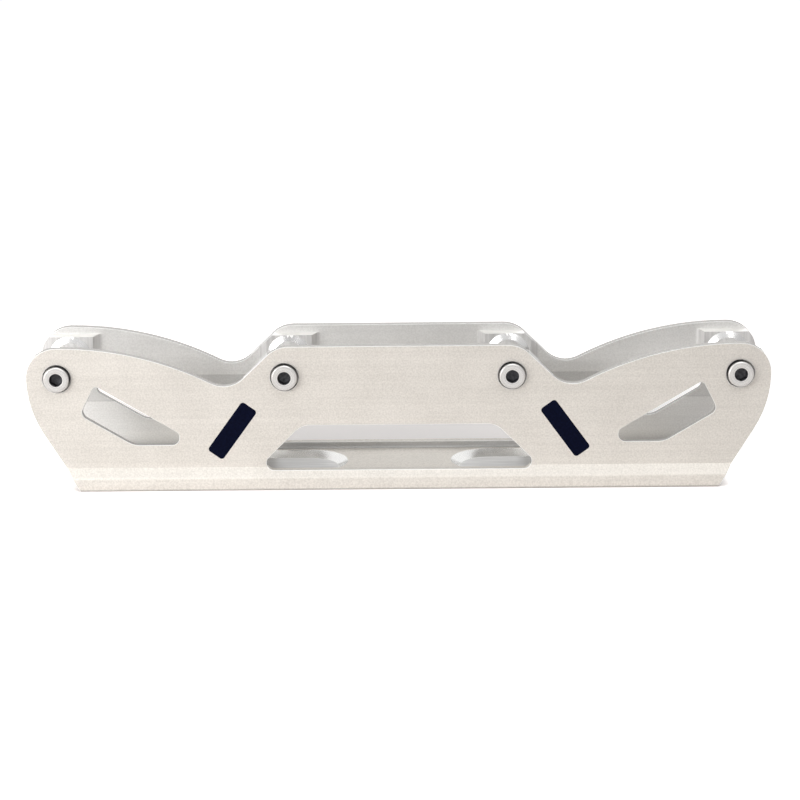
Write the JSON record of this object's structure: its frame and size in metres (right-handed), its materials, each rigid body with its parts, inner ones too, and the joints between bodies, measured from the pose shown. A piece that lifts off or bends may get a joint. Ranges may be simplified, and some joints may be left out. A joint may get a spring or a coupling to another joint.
{
  "type": "inline skate frame",
  "caption": "Aluminium inline skate frame: a milled channel with lobed, windowed walls, a flanged boot face with mounting slots, and screwed axle sleeves that carry wheels in line.",
  "frame": {"origin": "middle of the boot face, on which the frame lies with its axles up; on a skate it is used the other way up", "axes": "+X along the frame, +Y from the wall with the screw heads to the wall with the sleeve heads, +Z from the boot face to the axles"},
  "size_m": [0.265, 0.044, 0.052],
  "materials": {
    "frame_aluminium": "bead blasted and clear anodised, with bright machined bosses",
    "axle_steel": "turned, bright zinc plated"
  },
  "bodies": {
    "frame_channel": {"chassis": "frame_aluminium"},
    "screw_1": {"axle_screw_1": "axle_steel"},
    "sleeve_1": {"axle_sleeve_1": "axle_steel"},
    "screw_2": {"axle_screw_2": "axle_steel"},
    "sleeve_2": {"axle_sleeve_2": "axle_steel"},
    "screw_3": {"axle_screw_3": "axle_steel"},
    "sleeve_3": {"axle_sleeve_3": "axle_steel"},
    "screw_4": {"axle_screw_4": "axle_steel"},
    "sleeve_4": {"axle_sleeve_4": "axle_steel"}
  },
  "joints": [
    {"name": "sleeve_1_withdraw", "type": "slide", "parent": "frame_channel", "child": "sleeve_1", "axis": [0, 1, 0], "range_m": [0, 0.012]},
    {"name": "screw_1_turn", "type": "hinge", "parent": "frame_channel", "child": "screw_1", "pos_m": [-0.1215, 0, 0.041], "axis": [0, -1, 0], "range_deg": [0, 4320]},
    {"name": "sleeve_2_withdraw", "type": "slide", "parent": "frame_channel", "child": "sleeve_2", "axis": [0, 1, 0], "range_m": [0, 0.012]},
    {"name": "screw_2_turn", "type": "hinge", "parent": "frame_channel", "child": "screw_2", "pos_m": [-0.0405, 0, 0.041], "axis": [0, -1, 0], "range_deg": [0, 4320]},
    {"name": "sleeve_3_withdraw", "type": "slide", "parent": "frame_channel", "child": "sleeve_3", "axis": [0, 1, 0], "range_m": [0, 0.012]},
    {"name": "screw_3_turn", "type": "hinge", "parent": "frame_channel", "child": "screw_3", "pos_m": [0.0405, 0, 0.041], "axis": [0, -1, 0], "range_deg": [0, 4320]},
    {"name": "sleeve_4_withdraw", "type": "slide", "parent": "frame_channel", "child": "sleeve_4", "axis": [0, 1, 0], "range_m": [0, 0.012]},
    {"name": "screw_4_turn", "type": "hinge", "parent": "frame_channel", "child": "screw_4", "pos_m": [0.1215, 0, 0.041], "axis": [0, -1, 0], "range_deg": [0, 4320]}
  ],
  "couplings": [
    {"joint": "screw_1_turn", "follows": "sleeve_1_withdraw", "rad_per_m": 6283},
    {"joint": "screw_2_turn", "follows": "sleeve_2_withdraw", "rad_per_m": 6283},
    {"joint": "screw_3_turn", "follows": "sleeve_3_withdraw", "rad_per_m": 6283},
    {"joint": "screw_4_turn", "follows": "sleeve_4_withdraw", "rad_per_m": 6283}
  ]
}
